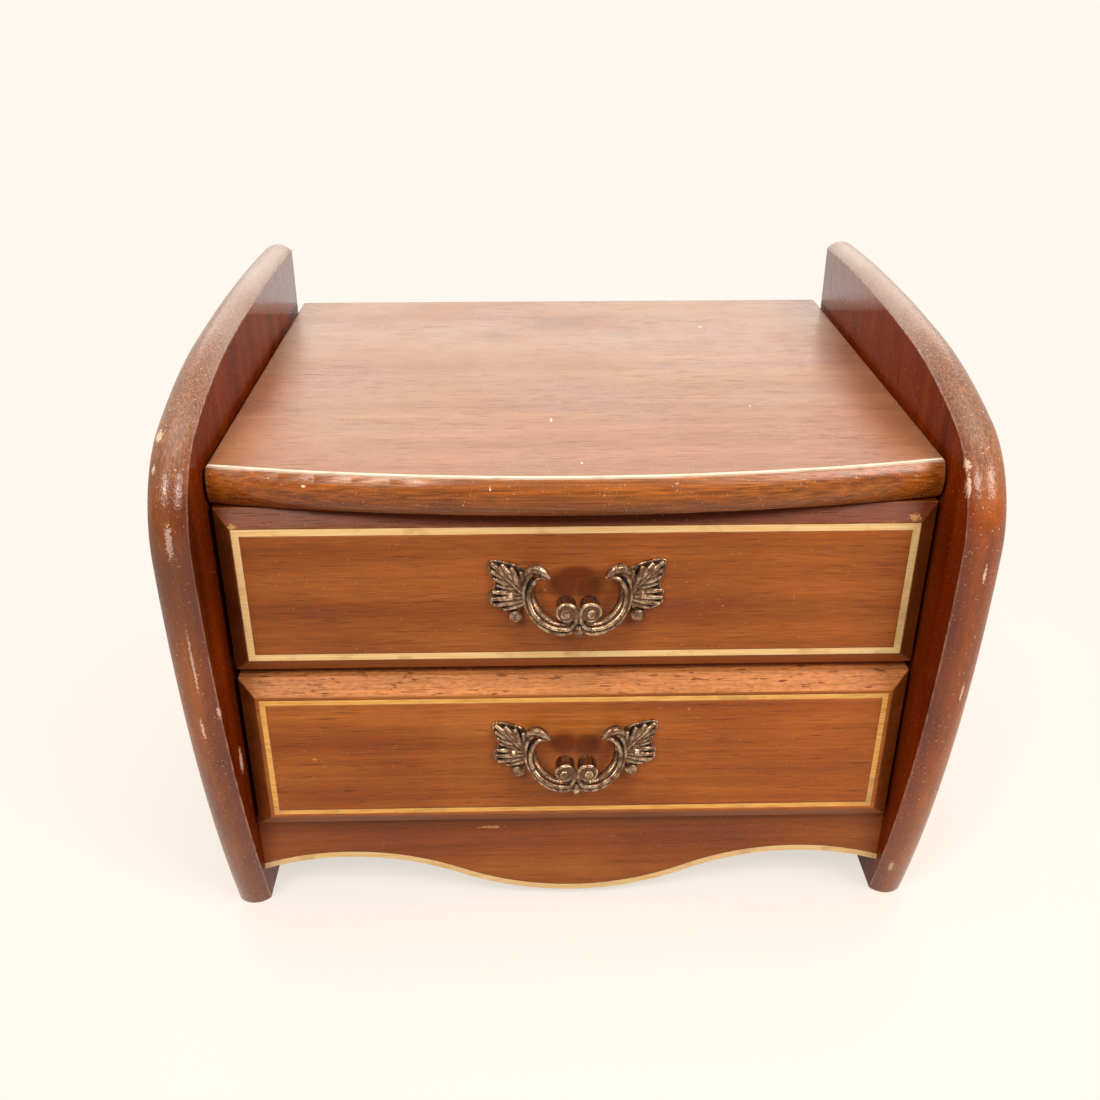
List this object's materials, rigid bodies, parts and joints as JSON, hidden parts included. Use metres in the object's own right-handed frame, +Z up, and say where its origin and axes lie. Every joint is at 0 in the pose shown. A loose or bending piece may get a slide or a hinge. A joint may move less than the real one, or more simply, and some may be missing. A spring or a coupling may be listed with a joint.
{
  "type": "musical jewellery box",
  "caption": "Musical jewellery box with shaped side panels, a hinged bowed lid over a lined tray, drawers with cast scroll pulls, a scalloped apron and a key-wound movement.",
  "frame": {"origin": "on the floor, at the middle of the whole width and depth, the winding key included", "axes": "+X to the right seen from the front, along the width; +Y to the back; +Z up"},
  "size_m": [0.262, 0.2228, 0.2173],
  "materials": {
    "stained_wood": "satin lacquered reddish brown hardwood",
    "lining_wood": "plain sanded wood, thin sealer",
    "light_inlay": "light inlaid stringing under lacquer",
    "gold_line": "gold coloured line under lacquer",
    "antique_brass": "darkened cast brass, worn bright on the high spots",
    "brass": "plain brass",
    "steel": "bright steel",
    "spring_steel": "blued steel",
    "velvet": "short pile velvet",
    "mirror": "silvered glass"
  },
  "bodies": {
    "case": {"side_panel_left": "stained_wood", "side_panel_right": "stained_wood", "back_panel": "stained_wood", "bottom_board": "lining_wood", "divider_board": "lining_wood", "tray_floor": "lining_wood", "tray_front_rail": "stained_wood", "tray_side_left": "lining_wood", "tray_side_right": "lining_wood", "music_partition": "lining_wood", "music_cover": "stained_wood", "cover_cleats": "lining_wood", "cover_screws": "steel", "tray_divider_long": "stained_wood", "tray_divider_cross": "stained_wood", "tray_lining": "velvet", "ring_cushion": "velvet", "apron": "stained_wood", "apron_banding": "light_inlay", "apron_blocks": "lining_wood", "hinge_leaves_case": "brass", "hinge_pins": "steel", "hinge_screws_case": "steel", "music_bedplate": "brass", "spring_drum": "brass", "mainspring": "spring_steel", "music_comb": "steel", "comb_and_bracket_screws": "steel", "governor_bracket": "brass", "movement_screws": "steel"},
    "lid": {"lid_board": "stained_wood", "lid_inlay": "light_inlay", "lid_lining": "velvet", "lid_mirror": "mirror", "hinge_leaves_lid": "brass", "hinge_screws_lid": "steel"},
    "upper_drawer": {"upper_drawer_front": "stained_wood", "upper_drawer_inlay": "light_inlay", "upper_drawer_side_left": "lining_wood", "upper_drawer_side_right": "lining_wood", "upper_drawer_back": "lining_wood", "upper_drawer_bottom": "lining_wood", "upper_drawer_lining": "velvet", "upper_drawer_pull": "antique_brass", "upper_drawer_pull_nails": "antique_brass"},
    "lower_drawer": {"lower_drawer_front": "stained_wood", "lower_drawer_inlay": "gold_line", "lower_drawer_side_left": "lining_wood", "lower_drawer_side_right": "lining_wood", "lower_drawer_back": "lining_wood", "lower_drawer_bottom": "lining_wood", "lower_drawer_lining": "velvet", "lower_drawer_pull": "antique_brass", "lower_drawer_pull_nails": "antique_brass"},
    "winding": {"winding_key": "steel", "winding_arbor": "steel"},
    "music_cylinder": {"music_cylinder": "brass"},
    "governor": {"governor_fan": "steel"},
    "stop_plunger": {"stop_plunger": "steel"}
  },
  "joints": [
    {"name": "lid_hinge", "type": "hinge", "parent": "case", "child": "lid", "pos_m": [0, 0.0936, 0.17485], "axis": [-1, 0, 0], "range_deg": [0, 100]},
    {"name": "upper_drawer_slide", "type": "slide", "parent": "case", "child": "upper_drawer", "axis": [0, -1, 0], "range_m": [0, 0.095]},
    {"name": "lower_drawer_slide", "type": "slide", "parent": "case", "child": "lower_drawer", "axis": [0, -1, 0], "range_m": [0, 0.115]},
    {"name": "cylinder_turn", "type": "hinge", "parent": "case", "child": "music_cylinder", "pos_m": [0.0275, 0.0725, 0.146], "axis": [1, 0, 0], "continuous": true},
    {"name": "key_turn", "type": "hinge", "parent": "case", "child": "winding", "pos_m": [0, 0.096, 0.146], "axis": [0, -1, 0], "continuous": true},
    {"name": "governor_turn", "type": "hinge", "parent": "case", "child": "governor", "pos_m": [0.0396, 0.0725, 0.1534], "axis": [0, 1, 0], "continuous": true},
    {"name": "plunger_rise", "type": "slide", "parent": "case", "child": "stop_plunger", "axis": [0, 0, 1], "range_m": [0, 0.003]}
  ],
  "couplings": [
    {"joint": "key_turn", "follows": "cylinder_turn", "ratio": -0.3125},
    {"joint": "governor_turn", "follows": "cylinder_turn", "ratio": 20},
    {"joint": "plunger_rise", "follows": "lid_hinge", "m_per_rad": 0.001718}
  ]
}
